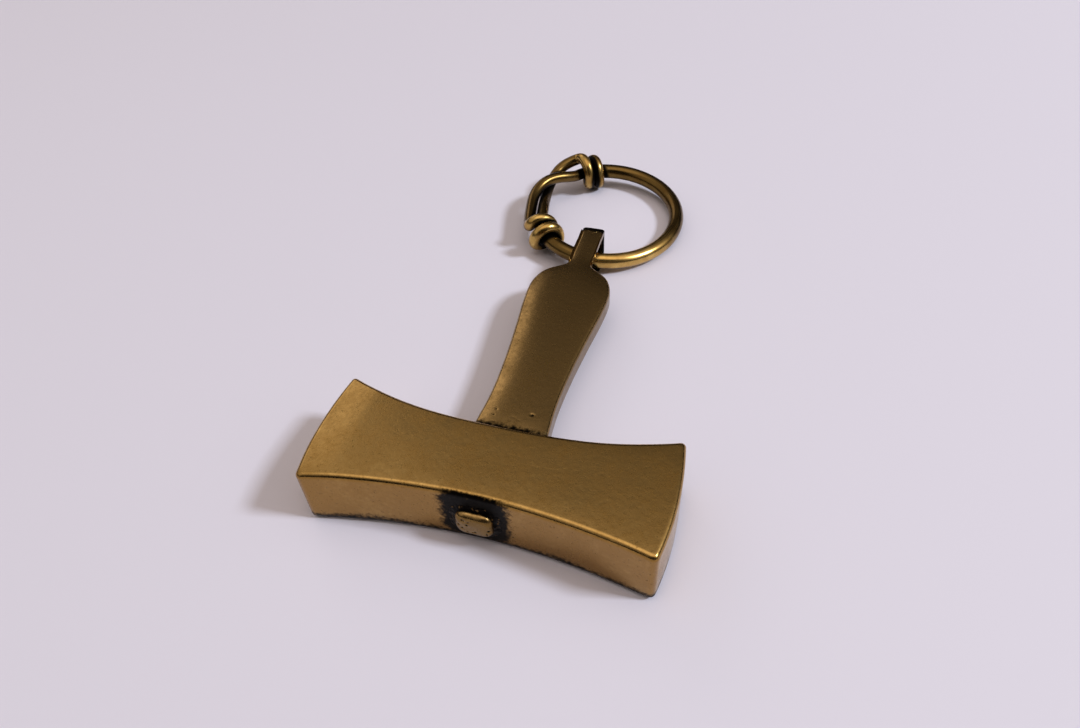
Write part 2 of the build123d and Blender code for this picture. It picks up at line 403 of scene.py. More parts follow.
def haft_front(plan):
    """Level up to the strap's end, where it follows a quarter circle of END_TURN."""
    into_turn = np.clip(plan[:, 1] - (STRAP_END - END_TURN), 0, END_TURN)
    return HAFT_TOP - END_TURN + np.sqrt(END_TURN**2 - into_turn**2 * 0.98)


def haft_back(plan):
    """The grip's back, then a step up to the strap's underside, then down again inside the bail's end."""
    step = (STRAP_BACK - GRIP_BACK) * ease(plan[:, 1], 41.0, 42.4)
    return GRIP_BACK + step - 1.1 * ease(plan[:, 1], 50.1, 50.9)


def haft_spine(plan):
    """A line along Y from inside the root to inside the strap."""
    return np.stack([plan[:, 0] * 0.0, np.clip(plan[:, 1], 8.0, 49.5)], axis=1)


grip_rows = soft_slab(haft_plan, along_normals(haft_plan), haft_spine, haft_back, haft_front, HAFT_EDGES,
                      HAFT_DIP, 16, 24, 1.0)
grip = make_piece("hammer_haft", grip_rows, zipped=True)
print("grip and strap faces:", len(grip.data.polygons))

# %% Bail
BAIL_PATH = ((50.68, 6.05), (50.68, 5.2), (50.68, 4.0), (50.68, 2.8), (50.68, 1.7), (50.6, 0.85),
             (50.1, 0.45), (49.0, 0.4), (47.0, 0.4), (45.0, 0.4), (43.0, 0.4), (41.6, 0.55), (40.4, 1.35),
             (39.2, 2.5), (38.3, 3.6), (37.6, 4.3))
BAIL_HALF_WIDTH = 1.78
BAIL_HALF_THICK = ((50.68, 0.61), (50.0, 0.4), (49.0, 0.32), (37.6, 0.32))
BAIL_EDGE = 0.25


def bar_rows(path, half_widths, half_thicks, edge):
    """A rounded rectangle carried along a path in the plane x = 0. Its corner is a superellipse of power 5,
    and its ends close by shrinking over the last edge width."""
    run = np.gradient(path, axis=0)
    run /= np.linalg.norm(run, axis=1)[:, None]
    across = np.stack([-run[:, 1], run[:, 0]], axis=1)
    angle = np.linspace(0, 2 * np.pi, 56, endpoint=False)
    power = 2 / 5
    wide = np.sign(np.cos(angle)) * np.abs(np.cos(angle)) ** power
    thick = np.sign(np.sin(angle)) * np.abs(np.sin(angle)) ** power
    length = np.concatenate([[0], np.cumsum(np.linalg.norm(np.diff(path, axis=0), axis=1))])
    near_end = np.clip(np.minimum(length, length[-1] - length) / edge, 0, 1)
    shrink = (np.sqrt(1 - (1 - near_end) ** 2) * 0.6 + 0.4)[:, None]
    x = half_widths[:, None] * wide * shrink
    yz = path[:, None] + across[:, None] * (half_thicks[:, None] * thick * shrink)[..., None]
    return np.concatenate([x[..., None], yz], axis=2)


bail_path = curve_near(BAIL_PATH, 0.12)
thick_at = np.array(BAIL_HALF_THICK)[::-1]
bail_thick = np.interp(bail_path[:, 0], thick_at[:, 0], thick_at[:, 1])
bail_wide = np.full(len(bail_path), BAIL_HALF_WIDTH)
bail = make_piece("bail", bar_rows(bail_path, bail_wide, bail_thick, BAIL_EDGE))
print("bail faces:", len(bail.data.polygons))

# %% Tenon
PEG_AT, PEG_WIDE, PEG_HIGH, PEG_ROUND = (-0.15, 4.3), 4.9, 3.9, 1.35
PEG_FROM, PEG_TO = -6.0, 7.2  # along -Y: inside the grip's root, and the end that stands out in front
PEG_EDGES = (0.4, 0.75)
PEG_DIP = (0.14, 0.6)


def rounded_rectangle(width, height, radius, spacing):
    """Four quarter circles joined by straight sides, anticlockwise, in steps of about the spacing."""
    corners = np.array([(1, 1), (-1, 1), (-1, -1), (1, -1)]) * (width / 2 - radius, height / 2 - radius)
    turn = np.linspace(0, np.pi / 2, 16)
    turns = [turn + k * np.pi / 2 for k in range(4)]
    arcs = [corner + radius * np.stack([np.cos(at), np.sin(at)], 1) for at, corner in zip(turns, corners)]
    closed = np.concatenate([*arcs, arcs[0][:1]])
    return even_steps(closed, spacing)[:-1]


def peg_face(plan):
    return PEG_TO + 0.0 * plan[:, 0]


def peg_root(plan):
    return PEG_FROM + 0.0 * plan[:, 0]


def peg_spine(plan):
    return plan * (0.3, 0.0)


peg_plan = rounded_rectangle(PEG_WIDE, PEG_HIGH, PEG_ROUND, 0.1)
peg_rows = soft_slab(peg_plan, along_normals(peg_plan), peg_spine, peg_root, peg_face, PEG_EDGES,
                     PEG_DIP, 60, 14)
peg_rows = np.stack([peg_rows[..., 0] + PEG_AT[0], -peg_rows[..., 2], peg_rows[..., 1] + PEG_AT[1]], axis=2)
peg = make_piece("peg", peg_rows)
print("peg faces:", len(peg.data.polygons))

# %% [markdown]
# ## Braze
# Brazing metal runs into a joint by itself and freezes as an uneven fillet, here blackened by the
# flame. It is a loop: a small closed cross-section carried round the peg, and again round the haft's
# root. Noise along the loop makes it creep further over the head in some places than in others.


# %% Braze
def braze_rows(loop, wall, way, spread, proud, seed):
    """A hollow-sided fillet round a loop of (x, z) positions. wall gives the head's surface at each x, way
    is the side it faces along Y. The section runs in a curve from the wall, spread away from the loop,
    up to the loop's side, proud of the wall, and closes inside the metal."""
    normals = outward(loop)
    place = np.concatenate([loop, np.zeros((len(loop), 1))], axis=1)
    creep = spread * (1 + 0.4 * noise(place, 0.9, seed) + 0.25 * noise(place, 0.35, seed + 1))
    rise = proud * (1 + 0.3 * noise(place, 0.7, seed + 2))
    rows = []
    for share in np.linspace(0, 1, 12):
        out = creep * (1 - share) ** 1.2
        up = rise * share**1.8
        rows.append((out, up))
    rows += [(np.full(len(loop), -0.25), rise * 0.8), (np.full(len(loop), -0.25), np.full(len(loop), -0.3)),
             (creep * 0.95, np.full(len(loop), -0.3))]
    made = []
    for out, up in rows:
        plan = loop + normals * out[:, None]
        made.append(np.stack([plan[:, 0], wall(plan[:, 0]) + way * up, plan[:, 1]], axis=1))
    return np.array(made)


def front_wall(x):
    return FRONT_WAIST - FRONT_FLARE * (np.abs(x) / FRONT_CORNER[0]) ** FRONT_POWER


def rear_wall(x):
    return REAR_WAIST + REAR_FLARE * (np.abs(x) / REAR_CORNER[0]) ** REAR_POWER


ROOT_WIDE = 9.9
FRONT_SPREAD, REAR_SPREAD, BRAZE_PROUD = 0.7, 0.28, 0.3
BRAZE_STEP = 0.08
peg_loop = rounded_rectangle(PEG_WIDE, PEG_HIGH, PEG_ROUND, BRAZE_STEP) + PEG_AT
root_loop = rounded_rectangle(ROOT_WIDE, HAFT_TOP - GRIP_BACK, HAFT_EDGES[1], BRAZE_STEP)
root_loop = root_loop + (0, (HAFT_TOP + GRIP_BACK) / 2)
front_rows = braze_rows(peg_loop, front_wall, -1, FRONT_SPREAD, BRAZE_PROUD, 11)
rear_rows = braze_rows(root_loop, rear_wall, 1, REAR_SPREAD, BRAZE_PROUD, 21)
front_braze = make_piece("front_braze_fillet", front_rows, looped=True)
rear_braze = make_piece("rear_braze_fillet", rear_rows, looped=True)
print("braze faces:", len(front_braze.data.polygons), len(rear_braze.data.polygons))

# %% [markdown]
# ## Ring
# The ring is a single brass wire. Its two ends are drawn thinner, cross over, and are each wrapped round
# the other leg. The way it was bent is given as points in the ring's own plane: an angle round
# the ring, a distance outwards and a height from an oval centreline. The two coils are worked out as
# helices. A B-spline pulls all of it into one smooth path, and a circle is carried along that.

# %% Ring route
RING_MIDDLE = np.array([0.02, 60.6, 2.58])
RING_R, RING_OVAL, LONG_AXIS = 12.58, 0.64, 79
SLOPE_X, SLOPE_Y = -0.093, 0.014
COIL_OFFSET = 2.1
UPPER_KNOT, LOWER_KNOT = 126, 217
UPPER_PITCH, LOWER_PITCH = 2.1, 2.55
UPPER_SLACK = 0.9
STEPS_PER_TURN, WRAP_STEPS = 10, 17
TAPER_INSET = 6
OVER_LEG = ((133, -0.55, 0.15), (143, -0.4, 0.75), (152, 0.35, 1.06), (161, 1.2, 1.0), (171, 1.65, 0.5),
            (181.5, 1.55, 0.1), (193.5, 1.25, 0), (205, 1.35, 0), (215.5, 1.9, 0))
UNDER_LEG = ((215, -0.15, 0), (204.5, -0.8, 0), (193.5, -0.9, -0.05), (182.5, -0.6, -0.45),
             (172.5, -0.1, -0.95), (162.5, 0.75, -1.05), (153.5, 1.6, -0.7), (144.5, 2.3, 0.1),
             (137, 2.75, 0.85))


def wrap(start, pitch, slack):
    """A helix round the other leg, from its outer side over the top: (angle, outwards, height) points."""
    turned = np.arange(1, WRAP_STEPS + 1) / STEPS_PER_TURN
    radius = COIL_OFFSET / np.cos(np.pi / STEPS_PER_TURN) + slack * np.maximum(1 - 2 * turned, 0)
    roll = 2 * np.pi * turned
    angle = start + np.degrees(pitch * turned / RING_R)
    return np.stack([angle, radius * np.cos(roll), radius * np.sin(roll)], axis=1)


def ring_places(points):
    """Polar points of the ring's plane to positions. The plane's own X leans down to the right."""
    angle, outwards, height = np.asarray(points, float).T
    reach = RING_R + RING_OVAL * np.cos(2 * np.radians(angle - LONG_AXIS)) + outwards
    flat = np.stack([reach * np.cos(np.radians(angle)), reach * np.sin(np.radians(angle)), height], axis=1)
    up = np.array([-SLOPE_X, -SLOPE_Y, 1]) / np.linalg.norm([SLOPE_X, SLOPE_Y, 1])
    side = np.array([1, 0, SLOPE_X]) / np.linalg.norm([1, SLOPE_X])
    return RING_MIDDLE + flat @ np.stack([side, np.cross(up, side), up])


arc_angles = np.linspace(LOWER_KNOT - 360 + TAPER_INSET, UPPER_KNOT - TAPER_INSET, 23)
arc = [(angle, 0, 0) for angle in arc_angles]
upper_wrap = wrap(UPPER_KNOT, -UPPER_PITCH, UPPER_SLACK)[::-1].tolist()
lower_wrap = wrap(LOWER_KNOT, LOWER_PITCH, 0).tolist()
route = [*upper_wrap, *UNDER_LEG[::-1], (LOWER_KNOT, 0, 0), *arc, (UPPER_KNOT, 0, 0), *OVER_LEG, *lower_wrap]
ring_path = curve_near(ring_places(route), 0.15)
wire_length = float(np.linalg.norm(np.diff(ring_path, axis=0), axis=1).sum())
print("ring wire is", round(wire_length, 1), "mm long in", len(ring_path), "steps")

# %% Ring surface
WIRE_R, WIRE_END_R = 1.25, 0.98
TIP_ROUND = 0.5


def carried_frames(path):
    """Two directions across the path at each step. The first is turned from step to step by no more than
    the path itself turns, so the surface isn't twisted."""
    run = np.gradient(path, axis=0)
    run /= np.linalg.norm(run, axis=1)[:, None]
    side = np.empty_like(run)
    kept = np.cross(run[0], (0, 0, 1))
    for step, along in enumerate(run):
        kept = kept - along * (kept @ along)
        kept /= np.linalg.norm(kept)
        side[step] = kept
    return side, np.cross(run, side)


def wire_rows(path, radii, around):
    """A circle of that many points carried along the path, with its own radius at each step."""
    side, rise = carried_frames(path)
    turn = np.linspace(0, 2 * np.pi, around, endpoint=False)[None, :, None]
    ring = side[:, None] * np.cos(turn) + rise[:, None] * np.sin(turn)
    return path[:, None] + ring * radii[:, None, None]


length_at = np.linspace(0, wire_length, len(ring_path))
offset = ring_path - RING_MIDDLE
angle_at = np.degrees(np.arctan2(offset[:, 1], offset[:, 0])) % 360
whole_turn = np.abs(length_at - wire_length / 2) < 0.35 * wire_length
to_knot = np.minimum((angle_at - LOWER_KNOT) % 360, (UPPER_KNOT - angle_at) % 360)
thin = np.where(whole_turn & (to_knot < 180), 1 - ease(to_knot, 1.0, 13.0), 1.0)
radii = WIRE_R + (WIRE_END_R - WIRE_R) * thin
# The radius falls to nothing at each tip by a quarter ellipse, so the cut ends are rounded over.
tip = np.clip(np.minimum(length_at, wire_length - length_at) / TIP_ROUND, 0.0004, 1)
radii *= np.sqrt(1 - (1 - tip) ** 2)
WIRE_AROUND = 44
ring = make_piece("twisted_ring", wire_rows(ring_path, radii, WIRE_AROUND))
print("ring faces:", len(ring.data.polygons), "radius", radii.min().round(3), "to", radii.max().round(3))

# %% [markdown]
# ## Relief
# A casting that was filed by hand is never flat: its faces roll gently, its skin is a little grainy, and
# gas bubbles leave small round pits, most of them near the joints, where the flame was. These are moved
# into the meshes along their normals, so that they catch the light from every side.

# %% Relief on the castings
rng = np.random.default_rng(5)
ROLL, ROLL_SIZE = 0.025, 5.5
GRAIN, GRAIN_SIZE = 0.003, 0.6


def casting_skin(points, seed):
    """Slow rolling plus fine grain, both only ever inwards, so the casting keeps its size."""
    return ROLL * (noise(points, ROLL_SIZE, seed) - 1) + GRAIN * (noise(points, GRAIN_SIZE, seed + 1) - 1)


def scattered(low, high, count, widest, deepest):
    """Pit centres spread evenly in a box, with random widths and depths."""
    centres = rng.uniform(low, high, (count, 3))
    size = rng.uniform(0.45, 1.0, count)
    return centres, size * widest, size * deepest


head_points, _ = places(head.data)
by_joint = scattered((-4.5, -6.9, 1.0), (4.5, -5.9, 8.6), 34, 0.32, 0.09)
on_front = scattered((-21, -9, 1.0), (21, -6, 8.6), 40, 0.28, 0.06)
head_pits = np.minimum(pits(head_points, *by_joint), pits(head_points, *on_front))
raise_surface(head, casting_skin(head_points, 31) + head_pits)

grip_points, _ = places(grip.data)
by_root = scattered((-4.6, 6.6, 6.2), (4.6, 9.6, 6.6), 13, 0.27, 0.16)
grip_pits = pits(grip_points, *by_root)
raise_surface(grip, casting_skin(grip_points, 41) + grip_pits)

peg_points, _ = places(peg.data)
on_end = scattered((-2.3, -7.3, 2.6), (2.0, -7.0, 6.0), 22, 0.3, 0.14)
peg_pits = pits(peg_points, *on_end)
raise_surface(peg, 0.03 * (noise(peg_points, 0.8, 51) - 1) + peg_pits)

for braze, seed in ((front_braze, 61), (rear_braze, 71)):
    braze_points, _ = places(braze.data)
    raise_surface(braze, 0.05 * noise(braze_points, 0.35, seed))
print("castings textured")

# %% [markdown]
# ## Dark places
# Brass browns where hands and cloth don't reach: between the turns of the wire and beside the braze.
# Other dark places are painted shade: the head's foot, the strap's underside, the bail, most of the
# ring, and in part the walls. Each mesh keeps a number for each point that says how dark it is, and the
# material mixes its patina and its painted shade by that number.


# %% Darkness stored on the meshes
def nearest_other(points, own, path, skip):
    """Distance from each point to the nearest part of the path that is more than skip steps from the
    point's own step, found a block at a time to keep the table of distances small."""
    nearest = np.empty(len(points))
    steps = np.arange(len(path))
    for block in np.array_split(np.arange(len(points)), 40):
        gap = np.linalg.norm(points[block, None] - path[None], axis=2)
        gap[np.abs(own[block, None] - steps) < skip] = 99
        nearest[block] = gap.min(axis=1)
    return nearest


ring_points, _ = places(ring.data)
own_step = np.minimum(np.arange(len(ring_points)) // WIRE_AROUND, len(ring_path) - 1)
own_step[-2:] = 0, len(ring_path) - 1
gap = nearest_other(ring_points, own_step // 3, ring_path[::3], 9) - WIRE_END_R
crevice = 1 - ease(gap, 0.15, 1.8)
store(ring, "crevice", crevice)
around = np.arange(len(ring_points)) % WIRE_AROUND * (2 * np.pi / WIRE_AROUND)
drawn = np.stack([length_at[own_step] * 0.06, np.cos(around), np.sin(around)], axis=1)
store(ring, "drawn", drawn)
# Painted shade: the wire is darkened all round the ring except on the near arc from the slot to the right
# side, where it reflects the light. Towards its ends it gets a quarter of that.
from_slot = (angle_at[own_step] + 90) % 360
painted_ring_shade = np.where(whole_turn[own_step], ease(from_slot, 45, 85), 0.25)
store(ring, "painted_ring_shade", painted_ring_shade)

from_peg = np.hypot(np.maximum(np.abs(head_points[:, 0] - PEG_AT[0]) - 2.3, 0),
                    np.maximum(np.abs(head_points[:, 2] - PEG_AT[1] - 0.7) - 2.6, 0))
on_front_wall = ease(-head_points[:, 1], 5.4, 5.9)
from_root = np.hypot(np.maximum(np.abs(head_points[:, 0]) - 4.9, 0),
                     np.maximum(head_points[:, 2] - HAFT_TOP, 0))
on_rear_wall = ease(head_points[:, 1], 4.2, 4.8)
patchy = 0.5 + 0.5 * noise(head_points, 3.5, 81)
# Painted shade: the head darkens towards its foot, where it meets the floor, in a patchy band 2 to 3 mm high.
painted_foot_shade = (1 - ease(head_points[:, 2], 0.45, 1.9 + 0.9 * patchy)) * 0.9
by_peg = (1 - ease(from_peg, 0.7, 3.2)) * on_front_wall
by_haft = (1 - ease(from_root, 0.3, 1.2)) * on_rear_wall
# The head's stored dark number holds braze soot beside the peg and the haft, dirt in the pits, and the painted
# shade at its foot.
soot_and_shade = np.maximum.reduce([by_peg, by_haft, painted_foot_shade, np.clip(-head_pits / 0.08, 0, 0.8)])
print("soot on the head:", soot_and_shade.max().round(2), "over", round(float((soot_and_shade > 0.5).mean()), 3))
store(head, "soot_and_shade", soot_and_shade)

# Painted shade on the strap's underside, over the slot. At the root, patina beside the braze and painted shade
# where the grip meets the head.
painted_shade_under_strap = ease(grip_points[:, 1], 41.0, 42.5) * (1 - ease(grip_points[:, 2], 5.3, 5.6))
patina_and_shade_at_root = 0.9 - 0.9 * ease(grip_points[:, 1], 6.5, 8.1)
store(grip, "soot_and_shade", np.maximum.reduce([painted_shade_under_strap, patina_and_shade_at_root, np.clip(-grip_pits / 0.06, 0, 1)]))
on_peg_side = 1 - ease(-peg_points[:, 1], 6.25, 6.6)
store(peg, "soot_and_shade", np.maximum(on_peg_side, np.clip(-peg_pits / 0.1, 0, 0.9)))
bail_points, _ = places(bail.data)
end_y = BAIL_PATH[0][0]
# Painted shade: the bail is dark at the narrow sides of its end and low down under the slot, and bright only
# on its broad faces higher up.
on_end_face = ease(np.abs(bail_points[:, 1] - end_y), 0.5, 0.62) * ease(bail_points[:, 2], 0.8, 2.0)
store(bail, "soot_and_shade", 1 - on_end_face)
# Faces that point sideways take the darker wall colour, partly tarnish that hands don't rub off and partly
# painted shade. The head's two ends mostly keep the face colour.
for part in (head, grip, peg, bail):
    _, facing = places(part.data)
    wall_tarnish_and_shade = 1 - ease(np.abs(facing[:, 2]), 0.3, 0.8)
    store(part, "side", wall_tarnish_and_shade * (1 - 0.8 * ease(np.abs(facing[:, 0]), 0.8, 0.95) * (part is head)))
print("darkest share of the ring:", round(float((crevice > 0.5).mean()), 3))

# %% [markdown]
# ## Materials
# All four finishes are brass at different stages. A metal's colour is what it reflects, so tarnish is a
# change of that colour as well as of roughness. Colours are written as sRGB hex and turned to linear light,
# and one small function adds a node with its settings and links.


# %% Material tools
def linear(code):
    """An sRGB hex colour as linear light, by the sRGB curve."""
    parts = np.array([int(code[i : i + 2], 16) for i in (1, 3, 5)]) / 255
    return (*np.where(parts <= 0.04045, parts / 12.92, ((parts + 0.055) / 1.055) ** 2.4).tolist(), 1.0)


def add_node(tree, kind, inputs=None, **settings):
    """Adds a node, makes its settings, and gives each input a value or a link."""
    made = tree.nodes.new(kind)
    for name, value in settings.items():
        setattr(made, name, value)
    for key, value in (inputs or {}).items():
        if isinstance(value, bpy.types.NodeSocket):
            tree.links.new(value, made.inputs[key])
        else:
            made.inputs[key].default_value = value
    return made


def per_mm(size):
    """The scale of a noise texture whose blotches are about that many millimetres across."""
    return 1 / (size * MM)


def new_material(name):
    material = bpy.data.materials.new(name)
    material.use_nodes = True
    shader = material.node_tree.nodes["Principled BSDF"]
    shader.inputs["Metallic"].default_value = 1.0
    return material, material.node_tree, shader


print("brass in linear light:", [round(c, 3) for c in linear("#c99a50")])


# %% Cast brass
def cast_brass(name, bright, dull, side, roughness):
    """Sand-cast brass, filed, tumbled and left to tarnish: a satin metal mottled at two sizes, with dark
    pores, and black where the stored number says so: braze soot in some places, painted shade in others.
    bright and dull are the two ends of its tarnish on the faces, which hands keep clean, and side is the
    colour of the walls, partly tarnish that hands don't rub off and partly painted shade."""
    material, tree, shader = new_material(name)
    place = add_node(tree, "ShaderNodeTexCoord").outputs["Object"]
    broad = add_node(tree, "ShaderNodeTexNoise", {"Vector": place, "Scale": per_mm(4.5), "Detail": 4.0})
    fine = add_node(tree, "ShaderNodeTexNoise", {"Vector": place, "Scale": per_mm(0.55), "Detail": 6.0,
                                                 "Roughness": 0.65})
    pores = add_node(tree, "ShaderNodeTexNoise", {"Vector": place, "Scale": per_mm(0.32), "Detail": 3.0})
    mottle = add_node(tree, "ShaderNodeMath", {0: broad.outputs["Fac"], 1: fine.outputs["Fac"]},
                      operation="ADD")
    tarnish = add_node(tree, "ShaderNodeMapRange", {"Value": mottle.outputs[0], "From Min": 0.72,
                                                    "From Max": 1.28})
    metal = add_node(tree, "ShaderNodeMix", {"Factor": tarnish.outputs[0], 6: linear(bright),
                                             7: linear(dull)}, data_type="RGBA")
    # The walls' colour is partly tarnish and partly painted shade, mixed in where a face points sideways.
    on_tarnished_shaded_wall = add_node(tree, "ShaderNodeAttribute", attribute_name="side")
    uneven = add_node(tree, "ShaderNodeMath", {0: mottle.outputs[0], 1: on_tarnished_shaded_wall.outputs["Fac"]},
                      operation="MULTIPLY", use_clamp=True)
    metal = add_node(tree, "ShaderNodeMix", {"Factor": uneven.outputs[0], 6: metal.outputs[2],
                                             7: linear(side)}, data_type="RGBA")
    pore = add_node(tree, "ShaderNodeMapRange", {"Value": pores.outputs["Fac"], "From Min": 0.62,
                                                 "From Max": 0.72}, interpolation_type="SMOOTHSTEP")
    speck = add_node(tree, "ShaderNodeMath", {0: pore.outputs[0], 1: 0.35}, operation="MULTIPLY")
    # Braze soot and painted shade both come in here and turn the metal nearly black (#0c0906).
    soot_and_shade = add_node(tree, "ShaderNodeAttribute", attribute_name="soot_and_shade")
    broken = add_node(tree, "ShaderNodeMath", {0: fine.outputs["Fac"], 1: -0.5}, operation="ADD")
    edge = add_node(tree, "ShaderNodeMath", {0: broken.outputs[0], 1: 1.5, 2: soot_and_shade.outputs["Fac"]},
                    operation="MULTIPLY_ADD")
    black = add_node(tree, "ShaderNodeMapRange", {"Value": edge.outputs[0], "From Min": 0.12,
                                                  "From Max": 0.85}, interpolation_type="SMOOTHSTEP")
    stained = add_node(tree, "ShaderNodeMath", {0: soot_and_shade.outputs["Fac"], 1: 12.0}, operation="MULTIPLY",
                       use_clamp=True)
    covered = add_node(tree, "ShaderNodeMath", {0: black.outputs[0], 1: stained.outputs[0]},
                       operation="MULTIPLY")
    dark = add_node(tree, "ShaderNodeMath", {0: covered.outputs[0], 1: speck.outputs[0]},
                    operation="MAXIMUM")
    colour = add_node(tree, "ShaderNodeMix", {"Factor": dark.outputs[0], 6: metal.outputs[2],
                                              7: linear("#0c0906")}, data_type="RGBA")
    rough = add_node(tree, "ShaderNodeMapRange", {"Value": mottle.outputs[0], "From Min": 0.7,
                                                  "From Max": 1.3, "To Min": roughness - 0.05,
                                                  "To Max": roughness + 0.1})
    rougher = add_node(tree, "ShaderNodeMath", {0: dark.outputs[0], 1: 0.3, 2: rough.outputs[0]},
                       operation="MULTIPLY_ADD")
    height = add_node(tree, "ShaderNodeMath", {0: dark.outputs[0], 1: -0.6, 2: fine.outputs["Fac"]},
                      operation="MULTIPLY_ADD")
    bump = add_node(tree, "ShaderNodeBump", {"Height": height.outputs[0], "Strength": 0.25,
                                             "Distance": 0.05 * MM})
    tree.links.new(colour.outputs[2], shader.inputs["Base Color"])
    tree.links.new(rougher.outputs[0], shader.inputs["Roughness"])
    tree.links.new(bump.outputs[0], shader.inputs["Normal"])
    return material


head_brass = cast_brass("satin_cast_brass", "#bd9a5c", "#a58146", "#98733a", 0.2)
haft_brass = cast_brass("browned_cast_brass", "#b0905b", "#8c7042", "#7a5f33", 0.21)
print("cast brass made twice, for the head and the haft")


# %% Drawn brass wire
def drawn_brass():
    """Hard-drawn brass wire, polished by handling: bright and smooth, with faint lines along its length
    from the drawing die, and brown to black where the turns touch."""
    material, tree, shader = new_material("polished_brass_wire")
    place = add_node(tree, "ShaderNodeTexCoord").outputs["Object"]
    drawn = add_node(tree, "ShaderNodeAttribute", attribute_name="drawn")
    lines = add_node(tree, "ShaderNodeTexNoise", {"Vector": drawn.outputs["Vector"], "Scale": 5.0,
                                                  "Detail": 5.0})
    broad = add_node(tree, "ShaderNodeTexNoise", {"Vector": place, "Scale": per_mm(2.5), "Detail": 4.0})
    tarnish = add_node(tree, "ShaderNodeMapRange", {"Value": broad.outputs["Fac"], "From Min": 0.35,
                                                    "From Max": 0.7})
    metal = add_node(tree, "ShaderNodeMix", {"Factor": tarnish.outputs[0], 6: linear("#dcb86c"),
                                             7: linear("#b48c4a")}, data_type="RGBA")
    # Painted shade: most of the ring is mixed towards a dark brown (#4a3719), by the stored number.
    painted_ring_shade = add_node(tree, "ShaderNodeAttribute", attribute_name="painted_ring_shade")
    share = add_node(tree, "ShaderNodeMath", {0: painted_ring_shade.outputs["Fac"], 1: 0.85}, operation="MULTIPLY")
    metal = add_node(tree, "ShaderNodeMix", {"Factor": share.outputs[0], 6: metal.outputs[2],
                                             7: linear("#4a3719")}, data_type="RGBA")
    crevice = add_node(tree, "ShaderNodeAttribute", attribute_name="crevice")
    broken = add_node(tree, "ShaderNodeMath", {0: broad.outputs["Fac"], 1: 0.5, 2: crevice.outputs["Fac"]},
                      operation="MULTIPLY_ADD")
    black = add_node(tree, "ShaderNodeMapRange", {"Value": broken.outputs[0], "From Min": 0.45,
                                                  "From Max": 0.95}, interpolation_type="SMOOTHSTEP")
    colour = add_node(tree, "ShaderNodeMix", {"Factor": black.outputs[0], 6: metal.outputs[2],
                                              7: linear("#0e0a06")}, data_type="RGBA")
    rough = add_node(tree, "ShaderNodeMapRange", {"Value": lines.outputs["Fac"], "From Min": 0.3,
                                                  "From Max": 0.7, "To Min": 0.21, "To Max": 0.32})
    rougher = add_node(tree, "ShaderNodeMath", {0: black.outputs[0], 1: 0.3, 2: rough.outputs[0]},
                       operation="MULTIPLY_ADD")
    bump = add_node(tree, "ShaderNodeBump", {"Height": lines.outputs["Fac"], "Strength": 0.12,
                                             "Distance": 0.02 * MM})
    tree.links.new(colour.outputs[2], shader.inputs["Base Color"])
    tree.links.new(rougher.outputs[0], shader.inputs["Roughness"])
    tree.links.new(bump.outputs[0], shader.inputs["Normal"])
    return material


wire_brass = drawn_brass()
print("wire finish made")


# %% Blackened braze
def black_braze():
    """Brazing brass under a skin of flux glass and black copper oxide: rough and nearly unreflecting,
    with a few glints where the skin has flaked."""
    material, tree, shader = new_material("blackened_braze")
    place = add_node(tree, "ShaderNodeTexCoord").outputs["Object"]
    lumps = add_node(tree, "ShaderNodeTexNoise", {"Vector": place, "Scale": per_mm(0.4), "Detail": 5.0})
    flaked = add_node(tree, "ShaderNodeMapRange", {"Value": lumps.outputs["Fac"], "From Min": 0.6,
                                                   "From Max": 0.72}, interpolation_type="SMOOTHSTEP")
    colour = add_node(tree, "ShaderNodeMix", {"Factor": flaked.outputs[0], 6: linear("#0b0806"),
                                              7: linear("#6d5330")}, data_type="RGBA")
    bump = add_node(tree, "ShaderNodeBump", {"Height": lumps.outputs["Fac"], "Strength": 0.35,
                                             "Distance": 0.1 * MM})
    shader.inputs["Roughness"].default_value = 0.5
    tree.links.new(colour.outputs[2], shader.inputs["Base Color"])
    tree.links.new(bump.outputs[0], shader.inputs["Normal"])
    return material


braze_black = black_braze()
print("braze finish made")

# %% [markdown]
# ## Putting it together
# The grip with its strap, the bail and the peg are one casting, so their meshes become one piece. Each
# piece then takes the place of its CAD node, rides on its body and gets its finish.

# %% Pieces
for part in (grip, bail, peg):
    part.data.materials.append(haft_brass)
with bpy.context.temp_override(active_object=grip, selected_editable_objects=[grip, bail, peg]):
    bpy.ops.object.join()

PIECES = ((head, "head", "pendant", head_brass, "cast_brass"),
          (grip, "haft", "pendant", None, "haft_brass"),
          (front_braze, "front_braze", "pendant", braze_black, "braze"),
          (rear_braze, "rear_braze", "pendant", braze_black, "braze"),
          (ring, "ring_wire", "ring", wire_brass, "ring_brass"))
for piece, node, body, finish, slot in PIECES:
    if finish:
        piece.data.materials.append(finish)
    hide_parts(node)
    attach(piece, body)
    print(piece.name, "stands for", node, "with", len(piece.data.polygons), "faces")

# %% [markdown]
# ## Stage and light
# The floor is a plain pale surface. One soft lamp, half way up on the right, casts the shadows.
# Everything else that the brass reflects is drawn on the world: a small bright ceiling, a wall, a dark
# patch where someone leans over the table, and a dim horizon. Polished metal only looks like metal when it has
# something dark to reflect, so most of the world is dark.

